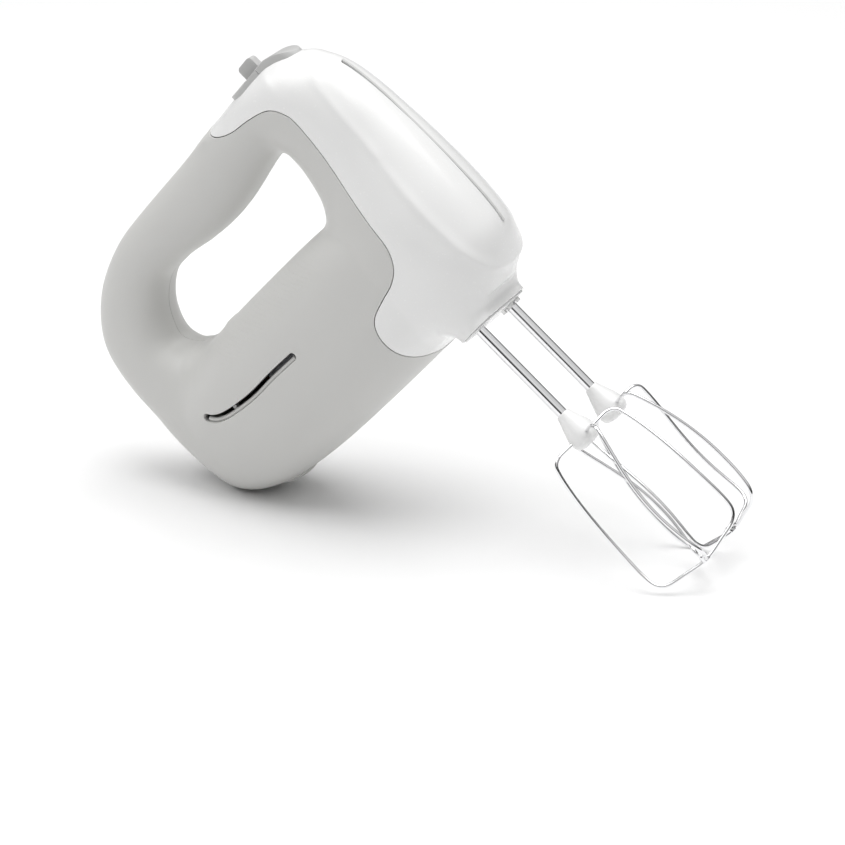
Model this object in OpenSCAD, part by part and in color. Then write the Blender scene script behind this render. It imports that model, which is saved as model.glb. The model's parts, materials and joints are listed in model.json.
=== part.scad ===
// Hand mixer: a motor in a split housing drives two wire beaters through a worm and two worm wheels.
// Everything is drawn upright, as in use: X forwards, Y to the left, Z up, the beaters hanging down
// from the sockets at x = 0. stand() then leans it onto its heel and its beater tips, as it is set down.

/* [Housing] */
// Length of the motor housing, nose to heel
body_l = 245; // [241:1:248]
// Width of the motor housing
body_w = 84; // [83:1:88]
// Height of the motor housing
body_h = 91; // [89:1:93]
// Height of the motor housing's middle above the socket face
body_z = 57.5; // [55:0.5:59]
// Wall thickness of the shells
wall = 2.4; // [1.8:0.1:2.8]
// Roundness of the housing in plan
plan_p = 2.6; // [2.2:0.1:3]

/* [Handle] */
// Width of the handle bar
handle_w = 40; // [36:1:44]
// Height of the handle bar's middle above the socket face
handle_z = 160; // [158:0.5:162]

/* [Beaters] */
// Distance between the two beater axes
socket_gap = 37; // [37:0.1:37.4]
// Diameter of a beater stem
stem_d = 6; // [5.5:0.1:6]
// Diameter of the beater wire
wire_d = 2; // [1.6:0.1:2.4]
// Diameter over a beater's wires
beater_d = 58; // [54:1:62]
// Depth of the beater tip below the socket face
beater_tip = 163; // [155:1:170]
// Angle of the near beater about its axis
beater_turn = 53; // [0:1:90]
// Angle of the far beater, turned from the near one
beater_phase = 12; // [0:1:45]

/* [Motor] */
// Height of the motor axis above the socket face
motor_z = 56; // [55:0.5:57]
// Radius of the armature
rotor_r = 16.9; // [15:0.1:17]
// Radius of the motor shaft
shaft_r = 3; // [2.5:0.1:3]

/* [Gears] */
// Teeth on each worm wheel
wheel_teeth = 36; // [36]
// Pitch radius of each worm wheel
wheel_r = 13.5; // [13.5:0.1:13.6]

/* [Controls] */
// Travel of the eject button
eject_travel = 5; // [4:0.5:5]
// Radius of the dome that the selector lever swings over
dome_r = 34; // [32:1:36]

/* [Stance] */
// Lean that brings the heel and the beater tips onto one plane
lean = 50; // [48:0.1:52]

/* [Hidden] */
$fn = 48;

side_p = 3.2;                // roundness of the housing seen from the side
body_tilt = 0.045;           // rise of the housing towards the heel
top_z = 183;                 // top of the control panel
eps = 0.01;                  // overlap of cutting tools past a face
run = 0.05;                  // radial running clearance of a shaft in a bore
part_gap = 0.4;              // gap between neighbouring shells
pin_gap = 0.3;               // gap between parts that move past each other
socket_y = socket_gap / 2;
stem_r = stem_d / 2;
wire_r = wire_d / 2;
worm_r = socket_y - wheel_r;                     // pitch radius of the worm
tooth_pitch = 2 * PI * wheel_r / wheel_teeth;
body_x = 49 - body_l / 2;                        // middle of the housing; the nose is at x = 49
far = 400;                                       // longer than anything here

// ---- where the leaned mixer stands: heel and tips on z = 0, middle of its bounding box on x = 0
lean_x = 48.41;
lean_z = 121.63;
module stand() translate([lean_x, 0, lean_z]) rotate([0, -lean, 0]) children();

// ---- lofted solids
// One closed ring of a superellipse: half sizes a and b, power p, n points, as [u, v] pairs
function oval(a, b, p, n) = [for (i = [0:n - 1]) let (t = 360 * i / n, c = cos(t), s = sin(t))
    [a * sign(c) * pow(abs(c), 2 / p), b * sign(s) * pow(abs(s), 2 / p)]];
// Point t of the way from p1 to p2 on a smooth curve through p0..p3
function curve_point(p0, p1, p2, p3, t) = 0.5 * (2 * p1 + (p2 - p0) * t
    + (2 * p0 - 5 * p1 + 4 * p2 - p3) * t * t + (3 * p1 - p0 - 3 * p2 + p3) * t * t * t);
// A smooth curve through all the points of P, with n steps between neighbours
function smooth(P, n) = [for (i = [0:len(P) - 2], k = [0:n - 1])
    curve_point(P[max(i - 1, 0)], P[i], P[i + 1], P[min(i + 2, len(P) - 1)], k / n), P[len(P) - 1]];
// A solid skin over rings of equal length, closed by a flat cap at each end
module loft(rings) {
    n = len(rings[0]);
    m = len(rings);
    polyhedron(points = [for (r = rings) each r],
        faces = concat([for (i = [0:m - 2], j = [0:n - 1], k = [0, 1])
            let (a = i * n + j, b = i * n + (j + 1) % n) k == 0 ? [a, a + n, b] : [b, a + n, b + n]],
            [[for (j = [0:n - 1]) j], [for (j = [n - 1:-1:0]) (m - 1) * n + j]]));
}
// A boolean of lofted skins, worked out as one mesh
module one_mesh() resize([0, 0, 0]) children();

// ---- the housing's outer form; inset shrinks it to the inside of the wall
// Lower housing: upright oval sections along X, rounded off at both ends
module motor_form(inset) {
    a = body_l / 2 - 7;
    steps = inset == 0 ? 9 : 6;
    loft([for (i = [0:2 * steps]) let (t = -sin(90 * (1 - i / steps)), x = body_x - 7 + (a - inset) * t,
        side = pow(max(1 - pow(abs(t), side_p), 0.0005), 1 / side_p),
        plan = pow(max(1 - pow(abs(t), plan_p), 0.0005), 1 / plan_p),
        z = body_z - body_tilt * (x - body_x))
        [for (q = oval((body_w / 2 - inset) * plan, (body_h / 2 - inset) * side, 2.7, inset == 0 ? 24 : 16))
            [x, q[0], z + q[1]]]]);
}
// Head: level oval sections stacked from the nose up to the top; [z, front x, back x, half width]
HEAD = [[12, 22, -30, 24], [16, 30, -36, 29], [22, 38, -42, 34], [34, 45, -48, 37.4],
    [49, 47.6, -53, 38.6], [68, 48.8, -50, 38], [86, 49.2, -38, 34], [100, 49.1, -27, 30.5],
    [112, 48.6, -20, 28], [133, 47, -16, 25.8], [151, 43.5, -20, 23.6], [163, 37.5, -34, 21.5],
    [172, 29.5, -44, 18.5], [178, 21, -44, 13.5], [180.5, 14, -38, 8]];
module head_form(inset) {
    loft([for (h = smooth(HEAD, inset == 0 ? 2 : 1))
        let (a = (h[1] - h[2]) / 2 - inset, x = (h[1] + h[2]) / 2,
        z = h[0] + inset * (h[0] < 50 ? 1 : -1) * min(1, abs(h[0] - 97) / 60))
        [for (q = oval(a, h[3] - inset, 2.2, inset == 0 ? 24 : 16)) [x + q[0], q[1], z]]]);
}
// Handle loop: oval sections square to a path; [x, z, heading, half thickness, half width]
HANDLE = [[6, 161, 180, 16, 17], [-30, 162.3, 182, 18.6, 19], [-62, 160, 180, 20.2, 19.6],
    [-84, 160.4, 180, 19.8, 19.8], [-112, 163, 182, 17.2, 20], [-134, 162, 194, 16.8, 20.4],
    [-154.5, 152.5, 219, 18.4, 21], [-167.5, 137, 248, 19, 22], [-172.5, 120, 260, 19.4, 23.5],
    [-171.5, 100, 267, 22, 27.5], [-170, 76, 272, 24.5, 31], [-167, 58, 280, 25, 32],
    [-158, 45, 296, 22, 27]];
module handle_form(inset) {
    loft([for (h = smooth(HANDLE, inset == 0 ? 2 : 1)) let (u = [-sin(h[2]), cos(h[2])])
        [for (q = oval(h[3] - inset, (h[4] - inset) * handle_w / 40, 2.3, inset == 0 ? 20 : 12))
            [h[0] - u[0] * q[0], q[1], h[1] + handle_z - 160 - u[1] * q[0]]]]);
}
// Boss under the nose: round-ended sections round both sockets; [z, radius, stretch along X]
BOSS = [[4, 11.6, 1], [6, 11.5, 1], [9, 11.8, 1.05], [13, 12.8, 1.25], [18, 14, 1.6], [26, 15, 1.8]];
module boss_form(inset) {
    loft([for (b = BOSS) let (r = b[1] - inset)
        [for (i = [0:23]) let (t = 360 * (i + 0.5) / 24) [r * b[2] * cos(t), r * sin(t)
            + (sin(t) > 0 ? 1 : -1) * min(socket_y, 36 - b[1]), b[0]]]]);
}
module whole_form(inset) {
    motor_form(inset);
    head_form(inset);
    handle_form(inset);
}
// Line where the white front shell meets the grey housing, seen from the side, nose region
PARTING = [[-40.5, 190], [-39.5, 182], [-37.5, 175.5], [-32.5, 171.5], [-24.6, 168.2],
    [-12.4, 165.8], [-1.2, 162.7], [4.8, 159.2], [9, 153.6], [11.6, 145.8], [11.2, 126.7],
    [8.6, 105], [7.4, 83], [6.9, 66.3], [2.1, 56.3], [-6, 51], [-17.7, 48.4], [-29, 44.5],
    [-35, 36], [-37, 24], [-34.5, 14.5], [-28.5, 7], [-24, 0]];
module nose_region(shift) {
    line = smooth(PARTING, 2);
    rotate([90, 0, 0]) linear_extrude(far, center = true)
        polygon(concat([for (q = line) [q[0] + shift, q[1]]], [[far, 0], [far, 190]]));
}
// Inside the shells: room for the works, the slots and the holes through the wall
module cavities() {
    difference() {
        whole_form(wall);
        screw_line() cylinder(r = 4.4, h = far, center = true, $fn = 20);
    }
    translate([0, 0, -eps]) linear_extrude(24)
        for (s = [-1, 1]) translate([0, s * socket_y]) circle(r = 6.6);
    translate([0, 0, 18]) linear_extrude(16)
        hull() for (s = [-1, 1]) translate([0, s * socket_y]) circle(r = 9);
    translate([0, 0, 160]) linear_extrude(30) control_outline(window_r);
    vent_slots();
    cord_hole();
    heel_pad(0.1);
    screw_line() {
        translate([0, 0, -screw_head_y]) cylinder(r = screw_r + 0.1, h = screw_len + 0.5, $fn = 20);
        translate([0, 0, -screw_head_y - far]) cylinder(r = 3.6, h = far, $fn = 20);
    }
}
// Window in the top for the control panel and the eject button, seen from above
panel_x0 = -19;
panel_x1 = 29.5;
window_r = 12.8;
window_taper = 4.6;
module control_outline(r) hull() {
    translate([panel_x0 + window_r, 0]) circle(r = r);
    translate([panel_x1 + pin_gap - window_r + window_taper, 0]) circle(r = r - window_taper);
}
// Cooling-air slot: a level run that hooks up at the heel; [x, z]
VENT = [[-81, 63], [-100, 64.3], [-117.6, 64.8], [-132, 66.7], [-143, 69], [-150, 72], [-154, 75.5]];
vent_r = 2.3;
module vent_slots() rotate([90, 0, 0]) linear_extrude(far, center = true)
    for (i = [0:len(VENT) - 2]) hull() for (k = [0, 1]) translate(VENT[i + k]) circle(r = vent_r, $fn = 16);
// Cord inlet, level through the heel
cord_x = -190;
cord_z = 62;
module cord_hole() translate([cord_x - 12, 0, cord_z]) rotate([0, 90, 0]) cylinder(r = 6.2, h = 30);
// Low round pad under the heel
module heel_pad(gap) translate([-162, 0, 22]) rotate([0, 20, 0]) intersection() {
    translate([0, 0, -4]) cylinder(r = 11 + gap, h = 5 + gap);
    translate([0, 0, 24]) sphere(r = 26.8);
}
// Cross screws that clamp the two grey shells, sunk deep in the left one; [x, z]
SCREWS = [[-172, 92], [-60, 24], [-128, 24]];
screw_r = 1.6;
screw_len = 20;
screw_head_y = 10;
module screw_line() for (q = SCREWS) translate([q[0], 0, q[1]]) rotate([90, 0, 0]) children();

module shell_half(side) one_mesh() difference() {
    whole_form(0);
    cavities();
    nose_region(-part_gap / 2);
    translate([-far / 2, side > 0 ? -far : -part_gap / 8, -far / 2]) cube([far, far + part_gap / 8, far]);
}
module housing_left() stand() color([0.8, 0.79, 0.77]) shell_half(1);
module housing_right() stand() color([0.8, 0.79, 0.77]) shell_half(-1);
module front_shell() stand() color([0.95, 0.95, 0.95]) one_mesh() difference() {
    union() {
        whole_form(0);
        boss_form(0);
    }
    cavities();
    difference() {
        translate([-far / 2, -far / 2, -far / 2]) cube(far * 2);
        nose_region(part_gap / 2);
    }
    accent_groove(0);
}
// Shallow groove down the middle of the nose, and the strip that fills it
NOSE = [[44.5, 152], [46.6, 142], [48.4, 124], [49, 100], [49.2, 76], [48.4, 50], [46, 34]];
module accent_groove(gap) translate([0, 0.9 - gap, 0]) rotate([90, 0, 0]) linear_extrude(1.8 - 2 * gap)
    polygon(concat([for (q = smooth(NOSE, 3)) [q[0] + 6 * (gap == 0 ? 1 : 0) - gap, q[1]]],
        [for (i = [len(NOSE) - 1:-1:0]) [NOSE[i][0] - 1.1 + gap, NOSE[i][1]]]));
module accent_strip() stand() color([0.8, 0.8, 0.8]) accent_groove(0.1);

// ---- trim
// Upright rib that bridges each air slot
module vent_rib() stand() color([0.85, 0.85, 0.83]) for (s = [-1, 1])
    translate([-136, s * 34.1, 66.2]) rotate([0, 20, 0]) cube([2.4, 3, 11], center = true);
module control_panel() stand() color([0.75, 0.75, 0.73]) difference() {
    intersection() {
        translate([panel_x0 - 1, 0, swing_z]) rotate([0, 90, 0])
            cylinder(r = dome_r, h = split_x - panel_x0 + 1);
        translate([0, 0, panel_z]) linear_extrude(10) control_outline(window_r - 0.2);
    }
    translate([lever_x, 0, 170]) linear_extrude(30) square([12.4, 19.6], center = true);
}
module boss_plate() stand() color([0.9, 0.9, 0.9]) translate([0, 0, 3]) linear_extrude(1) difference() {
    hull() for (s = [-1, 1]) translate([0, s * socket_y]) circle(r = 9.8);
    for (s = [-1, 1]) translate([0, s * socket_y]) circle(r = 6.35);
}
// Guide ring in each socket; the keyed one stands proud with six notches
module socket_bush(y, drop) translate([0, y, 0]) difference() {
    translate([0, 0, 4 - drop]) cylinder(r = 6.2, h = 16 + drop);
    translate([0, 0, -far / 2]) cylinder(r = 4.9, h = far);
}
module socket_bush_plain() stand() color("white") socket_bush(-socket_y, 0.8);
module socket_bush_keyed() stand() color("white") difference() {
    socket_bush(socket_y, 3);
    for (i = [0:2]) translate([0, socket_y, 1]) rotate(60 * i + 30) cube([20, 2.6, 3.2], center = true);
}
module cord_bush() stand() color([0.3, 0.3, 0.3]) translate([cord_x, 0, cord_z]) rotate([0, 90, 0])
    difference() {
        union() {
            translate([0, 0, -8.6]) cylinder(r = 6.1, h = 20);
            cylinder(r = 8, h = 3);
        }
        translate([0, 0, -20]) cylinder(r = 3.5, h = 60);
    }
module heel_foot() stand() color([0.8, 0.8, 0.8]) heel_pad(0);

// ---- gearbox
case_z0 = 38;
case_z1 = 64;
module case_outline() {
    hull() for (s = [-1, 1]) translate([0, s * socket_y]) circle(r = 16.1);
    translate([-30, -15]) square([60, 30]);
}
screw_xy = [[-26, -11.5], [-26, 11.5], [26, -11.5], [26, 11.5]];
module gearbox_case() stand() color([0.25, 0.25, 0.27]) difference() {
    translate([0, 0, case_z0]) linear_extrude(case_z1 - case_z0) case_outline();
    for (s = [-1, 1]) translate([0, s * socket_y, 0]) {
        translate([0, 0, case_z0 + 4]) cylinder(r = 14.9, h = far);
        cylinder(r = 6.5 + run, h = far);
    }
    translate([-17, -6, case_z0 + 4]) cube([34, 12, far]);
    translate([-far / 2, 0, motor_z]) rotate([0, 90, 0]) cylinder(r = 5, h = far);
    translate([-30 - eps, 0, motor_z]) rotate([0, 90, 0]) cylinder(r = 8 + run, h = 7 + eps);
    for (q = screw_xy) translate([q[0], q[1], case_z1 - 12]) cylinder(r = 1.5, h = far);
}
module gearbox_cover() stand() color([0.3, 0.3, 0.32]) translate([0, 0, case_z1]) difference() {
    linear_extrude(3.5) case_outline();
    for (s = [-1, 1]) translate([0, s * socket_y, -1]) cylinder(r = 6.5 + run, h = 10);
    for (q = screw_xy) translate([q[0], q[1], -1]) cylinder(r = 1.6, h = 10);
}
module screw(r, l) {
    translate([0, 0, -l]) cylinder(r = r, h = l);
    cylinder(r = 2 * r, h = 1.8);
}
module gearbox_screws() stand() color([0.6, 0.6, 0.62]) for (q = screw_xy)
    translate([q[0], q[1], case_z1 + 3.5]) screw(1.45, 13);
module housing_screws() stand() color([0.6, 0.6, 0.62]) screw_line()
    translate([0, 0, -screw_head_y]) rotate([180, 0, 0]) screw(screw_r, screw_len);

// Worm wheel: teeth that taper to the tip, on a long hub bored for the stem with a cross slot
function wheel_ring(r_tip, r_root, n, t_tip, t_root) = [for (i = [0:n - 1], k = [0:3])
    let (a = 360 / n * i + (k < 2 ? -1 : 1) * (k == 0 || k == 3 ? t_root : t_tip),
        r = k == 0 || k == 3 ? r_root : r_tip)
    [r * cos(a), r * sin(a)]];
module worm_wheel(turn) {
    difference() {
        union() {
            translate([0, 0, motor_z - 3.5]) linear_extrude(7) rotate(turn)
                polygon(wheel_ring(wheel_r + 0.8, wheel_r - 1, wheel_teeth, 1, 2.6));
            translate([0, 0, case_z0]) cylinder(r = 6.5, h = case_z1 + 4.5 - case_z0);
            translate([0, 0, case_z0 + 4 + pin_gap]) cylinder(r = 8.5, h = 10);
        }
        cylinder(r = stem_r + run, h = far);
        translate([0, 0, case_z0 + 4]) cube([9.6, 1.5, 20], center = true);
    }
}
module wheel_left() stand() color([0.9, 0.88, 0.8]) translate([0, socket_y, 0]) worm_wheel(-90 + tooth_turn);
module wheel_right() stand() color([0.9, 0.88, 0.8]) translate([0, -socket_y, 0]) worm_wheel(90 + tooth_turn);
tooth_turn = 90 / wheel_teeth;
// Spring ring on top of a hub that holds the stem
module beater_catch() translate([0, 0, case_z1 + 4.5]) difference() {
    cylinder(r = 5.6, h = 1.3);
    translate([0, 0, -1]) cylinder(r = stem_r + 2 * run, h = 5);
    translate([0, -1, -1]) cube([10, 2, 5]);
}
module catch_left() stand() color([0.6, 0.6, 0.6]) translate([0, socket_y, 0]) beater_catch();
module catch_right() stand() color([0.6, 0.6, 0.6]) translate([0, -socket_y, 0]) beater_catch();

// ---- motor, all about the shaft's axis
module on_shaft(x) translate([x, 0, motor_z]) rotate([0, 90, 0]) children();
core_x = -112;
core_l = 40;
brush_x = -126;
module motor_shaft() stand() color([0.7, 0.7, 0.72]) on_shaft(-146) cylinder(r = shaft_r, h = 120 + pin_gap);
// One-start worm: radius rises to a ridge that winds once per tooth pitch
worm_l = 28;
function ridge(u) = let (v = abs(u - floor(u) - 0.5)) v < 0.1 ? 1 : (v > 0.3 ? 0 : (0.3 - v) / 0.2);
module worm() stand() color([0.75, 0.75, 0.78]) {
    steps = 6;
    sides = 12;
    count = round(worm_l / tooth_pitch);
    on_shaft(-count * tooth_pitch / 2) loft([for (i = [0:count * steps])
        [for (j = [0:sides - 1])
            let (t = 360 * j / sides, r = worm_r - 1 + 1.8 * ridge(i / steps + j / sides + 0.5))
            [r * cos(t), r * sin(t), i * tooth_pitch / steps]]]);
    on_shaft(count * tooth_pitch / 2) cylinder(r = 3, h = 10);
    on_shaft(-26 + pin_gap) cylinder(r = 4.5, h = 26 - pin_gap - count * tooth_pitch / 2);
}
module armature_core() stand() color([0.5, 0.5, 0.52]) on_shaft(core_x) difference() {
    cylinder(r = rotor_r, h = core_l);
    translate([0, 0, -1]) cylinder(r = shaft_r, h = core_l + 2);
    for (i = [0:11]) rotate(30 * i) translate([rotor_r - 6, -1, -1]) cube([8, 2, core_l + 2]);
}
module armature_windings() stand() color([0.72, 0.4, 0.2]) on_shaft(core_x) {
    for (z = [-9, core_l]) translate([0, 0, z]) rotate_extrude() translate([5, 0]) hull()
        for (x = [2.5, 8.5], y = [2.5, 6.5]) translate([x, y]) circle(r = 2.5, $fn = 16);
    for (i = [0:11]) rotate(30 * i) translate([rotor_r - 5.6, -0.8, 0]) cube([4.6, 1.6, core_l]);
}
module commutator() stand() color([0.8, 0.5, 0.25]) on_shaft(-134) difference() {
    cylinder(r = 9, h = 12.5);
    translate([0, 0, -1]) cylinder(r = shaft_r, h = 20);
    for (i = [0:11]) rotate(30 * i) translate([7.5, -0.25, -1]) cube([4, 0.5, 16]);
}
module fan() stand() color([0.2, 0.2, 0.2]) on_shaft(-60) {
    difference() {
        union() {
            cylinder(r = 7, h = 12);
            cylinder(r = 24, h = 1.6);
        }
        translate([0, 0, -1]) cylinder(r = shaft_r, h = 20);
    }
    for (i = [0:8]) rotate(40 * i) translate([7 - 0.2, -0.7, 1.6]) cube([16.5, 1.4, 9]);
}
// A slice of a ring between two angles, as a flat outline
module ring_slice(r0, r1, a0, a1) intersection() {
    difference() {
        circle(r = r1);
        circle(r = r0);
    }
    polygon([[0, 0], for (i = [0:4]) 2 * r1 * [cos(a0 + (a1 - a0) * i / 4), sin(a0 + (a1 - a0) * i / 4)]]);
}
stator_r = rotor_r + 0.5;
module stator_core() stand() color([0.42, 0.42, 0.45]) on_shaft(core_x) difference() {
    linear_extrude(core_l) intersection() {
        square([58, 52], center = true);
        circle(r = 34);
    }
    translate([0, 0, -1]) cylinder(r = stator_r, h = core_l + 2);
    translate([0, 0, -1]) linear_extrude(core_l + 2) for (p = [0, 180], s = [-1, 1])
        ring_slice(stator_r - 1, 23.4, p + s * 42, p + s * 72);
}
// Field coil: two sides through the core's windows and an arc across each end
module field_coil(pole) on_shaft(core_x) {
    translate([0, 0, -7]) linear_extrude(7) ring_slice(18.2, 23, pole - 70, pole + 70);
    translate([0, 0, core_l]) linear_extrude(7) ring_slice(18.2, 23, pole - 70, pole + 70);
    for (s = [-1, 1]) linear_extrude(core_l) ring_slice(18.2, 23, pole + s * 46, pole + s * 70);
}
module field_coil_upper() stand() color([0.72, 0.35, 0.15]) field_coil(180);
module field_coil_lower() stand() color([0.72, 0.35, 0.15]) field_coil(0);
module rear_bracket() stand() color([0.3, 0.3, 0.3]) on_shaft(-143) difference() {
    union() {
        cylinder(r = 11.5, h = 7);
        translate([-24, -5, 0]) cube([48, 10, 3]);
        translate([-3, -24, 0]) cube([6, 48, 3]);
    }
    translate([0, 0, -1]) cylinder(r = shaft_r + 1, h = 20);
    translate([0, 0, 1]) cylinder(r = 8 + run, h = 20);
}
module bearing_ring(l) difference() {
    cylinder(r = 8, h = l);
    translate([0, 0, -1]) cylinder(r = shaft_r + run, h = l + 2);
}
module front_bearing() stand() color([0.75, 0.6, 0.3]) on_shaft(-30) bearing_ring(3.6);
module rear_bearing() stand() color([0.75, 0.6, 0.3]) on_shaft(-142) bearing_ring(6);
module brush_holder(s) translate([brush_x, s * 17, motor_z]) difference() {
    cube([8, 13, 9], center = true);
    cube([6.2, 14, 7.2], center = true);
}
module brush_holder_left() stand() color([0.8, 0.65, 0.3]) brush_holder(1);
module brush_holder_right() stand() color([0.8, 0.65, 0.3]) brush_holder(-1);
module carbon_brush(s) translate([brush_x, s * 13.65, motor_z]) cube([6, 8.7, 7], center = true);
module carbon_brush_left() stand() color([0.15, 0.15, 0.15]) carbon_brush(1);
module carbon_brush_right() stand() color([0.15, 0.15, 0.15]) carbon_brush(-1);
// Coil spring along Z: mean radius r, wire radius w, n turns in length l
module coil_spring(r, w, n, l) {
    steps = 10;
    loft([for (i = [0:n * steps]) let (t = 360 * i / steps, z = w + (l - 2 * w) * i / (n * steps))
        [for (q = oval(w, w, 2, 6)) [(r + q[0]) * cos(t), (r + q[0]) * sin(t), z - q[1]]]]);
}
module brush_spring(s) translate([brush_x, s * 18.05, motor_z]) rotate([-90 * s, 0, 0])
    coil_spring(2.2, 0.35, 4, 5.4);
module brush_spring_left() stand() color([0.7, 0.7, 0.7]) brush_spring(1);
module brush_spring_right() stand() color([0.7, 0.7, 0.7]) brush_spring(-1);

// ---- switch gear in the head
board_z = 152;
board_t = 1.6;
switch_z = board_z + board_t;
switch_h = 14;
module speed_board() stand() color([0.2, 0.4, 0.25]) difference() {
    translate([-6, -13, board_z]) cube([36, 26, board_t]);
    translate([rod_x, 0, board_z - 1]) cylinder(r = 3, h = board_t + 2);
}
module speed_switch() stand() color([0.15, 0.15, 0.15]) difference() {
    translate([lever_x - 9, -9, switch_z]) cube([18, 18, switch_h]);
    translate([lever_x, 0, switch_z + switch_h]) cube([4.8, 13, 6], center = true);
}
module capacitor() stand() color([0.75, 0.65, 0.2]) translate([-4, -10, board_z - 14]) cube([14, 20, 14]);

// ---- controls
panel_z = top_z - 9;         // underside of the control panel
swing_z = top_z - dome_r;    // height of the axis that the lever swings about
lever_x = 0.3;
split_x = 7.6;               // where the panel ends and the eject button starts
rod_x = 22;                  // eject rod
rod_r = 2.4;
stem_top = 75.6;
bar_z = stem_top + 0.4;      // underside of the eject bar
collar_z = switch_z + 9.4 + eject_travel;    // leaves the spring room when the button is down
module eject_button() stand() color([0.78, 0.78, 0.76]) intersection() {
    translate([split_x + pin_gap, 0, swing_z]) rotate([0, 90, 0]) cylinder(r = dome_r, h = far);
    translate([split_x, 0, top_z - 30.4]) rotate([90, 0, 0])
        cylinder(r = 30, h = 60, center = true, $fn = 96);
    translate([0, 0, panel_z - 1]) linear_extrude(12) control_outline(window_r - pin_gap);
}
module eject_plunger() stand() color([0.3, 0.3, 0.3]) {
    translate([rod_x, 0, bar_z]) cylinder(r = rod_r, h = panel_z - 1 - bar_z);
    translate([0, 0, bar_z]) linear_extrude(4) difference() {
        union() {
            hull() for (s = [-1, 1]) translate([0, s * socket_y]) circle(r = 3.4);
            translate([0, -3]) square([rod_x, 6]);
        }
        translate([rod_x, 0]) circle(r = rod_r);
    }
    translate([rod_x, 0, collar_z]) difference() {
        cylinder(r = 5.4, h = 2);
        translate([0, 0, -1]) cylinder(r = rod_r, h = 4);
    }
}
module eject_spring() stand() color([0.7, 0.7, 0.7]) translate([rod_x, 0, switch_z])
    coil_spring(4, 0.5, 6, collar_z - switch_z);
// Selector: a fin through the panel, on a curved foot that slides under it
foot_r = panel_z - 0.4 - swing_z;
module selector_lever() stand() color([0.74, 0.74, 0.73]) {
    translate([lever_x, 0, panel_z + 4]) rotate([90, 0, 0]) linear_extrude(5, center = true) hull() {
        translate([-5.6, 0]) square([11.2, 1]);
        for (x = [-3.2, 3.2]) translate([x, 9.6]) circle(r = 2.4);
    }
    translate([lever_x, 0, foot_r + swing_z - 1]) cylinder(r = 2.4, h = 6);
    translate([lever_x - 7.2, 0, swing_z]) rotate([90, 0, 90]) linear_extrude(14)
        ring_slice(foot_r - 2, foot_r, 70, 110);
    translate([lever_x, 0, swing_z + 17]) cylinder(r = 2, h = foot_r - 18);
}

// ---- beaters, drawn about their own axis and then set in the sockets
hub_top = -58;
hub_l = 21;
// Wing outline of a wire loop, from the hub round to the tip; [radius, z] for a 58 mm beater
WING = [[4, -73], [12, -72.6], [18, -72.8], [22.2, -75], [24, -80], [26, -94], [27.8, -113], [28.8, -132],
    [29, -147], [27.6, -154.5], [23, -158.8], [13, -161], [5, -162.6], [0, -163]];
// Turn of the wing about the axis, by height; the two beaters wind opposite ways
function wing_turn(z) = let (t = (z - WING[0][1]) / (WING[13][1] - WING[0][1])) 15 * t + 15 * sin(180 * t);
function loop_point(q, kink, lift, hand) = [q[0] * beater_d / 58,
    q[1] * beater_tip / 163 + lift * max(0, 1 - pow(q[0] / kink, 2)), hand * wing_turn(q[1])];
module wire_loop(lift, hand) {
    half = smooth(WING, 2);
    n = len(half);
    path = [for (i = [0:2 * n - 2])
        let (q = i < n ? half[i] : [-half[2 * n - 2 - i][0], half[2 * n - 2 - i][1]])
        loop_point(q, 6, lift, hand)];
    P = [for (q = path) [q[0] * cos(q[2]), q[0] * sin(q[2]), q[1]]];
    m = len(P);
    loft([for (i = [0:m - 1]) let (d = P[min(i + 1, m - 1)] - P[max(i - 1, 0)], t = d / norm(d),
        side = [-sin(path[i][2]), cos(path[i][2]), 0],
        u = cross(t, side) / norm(cross(t, side)), v = cross(t, u))
        [for (q = oval(wire_r, wire_r, 2, 8)) P[i] + q[0] * u + q[1] * v]]);
}
module beater_place(y, turn) stand() translate([0, y, 0]) rotate(turn) children();
module beater_stem() {
    difference() {
        translate([0, 0, hub_top - hub_l + 5]) cylinder(r = stem_r, h = stem_top - hub_top + hub_l - 5);
        translate([0, 0, case_z1 + 5.4]) rotate_extrude() translate([stem_r + 0.5, 0]) circle(r = 1);
    }
    for (s = [-1, 1]) translate([s * (stem_r + 0.7), 0, 43]) cube([1.8, 1, 7], center = true);
}
module beater_hub() difference() {
    union() {
        translate([0, 0, hub_top - 13]) cylinder(r1 = 8.2, r2 = 3.8, h = 13);
        translate([0, 0, hub_top - 16]) cylinder(r = 8.2, h = 3);
        intersection() {
            translate([0, 0, hub_top - hub_l]) cylinder(r = 8.2, h = 5);
            translate([0, 0, hub_top - 12]) sphere(r = 9.3);
        }
    }
    translate([0, 0, hub_top - hub_l + 5]) cylinder(r = stem_r, h = far);
}
module beater_clip() translate([0, 0, 1.2 - beater_tip]) cylinder(r = 2.6, h = 4.2, center = true);
left_turn = beater_turn + beater_phase;
module stem_left() color([0.8, 0.8, 0.82]) beater_place(socket_y, 0) beater_stem();
module hub_left() color("white") beater_place(socket_y, left_turn) beater_hub();
module loop_a_left() color([0.8, 0.8, 0.82]) beater_place(socket_y, left_turn) wire_loop(0, 1);
module loop_b_left() color([0.8, 0.8, 0.82]) beater_place(socket_y, left_turn + 90) wire_loop(2.3, 1);
module clip_left() color([0.7, 0.7, 0.72]) beater_place(socket_y, left_turn) beater_clip();
module stem_right() color([0.8, 0.8, 0.82]) beater_place(-socket_y, 0) beater_stem();
module hub_right() color("white") beater_place(-socket_y, beater_turn) beater_hub();
module loop_a_right() color([0.8, 0.8, 0.82]) beater_place(-socket_y, beater_turn) wire_loop(0, -1);
module loop_b_right() color([0.8, 0.8, 0.82]) beater_place(-socket_y, beater_turn + 90) wire_loop(2.3, -1);
module clip_right() color([0.7, 0.7, 0.72]) beater_place(-socket_y, beater_turn) beater_clip();

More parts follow.
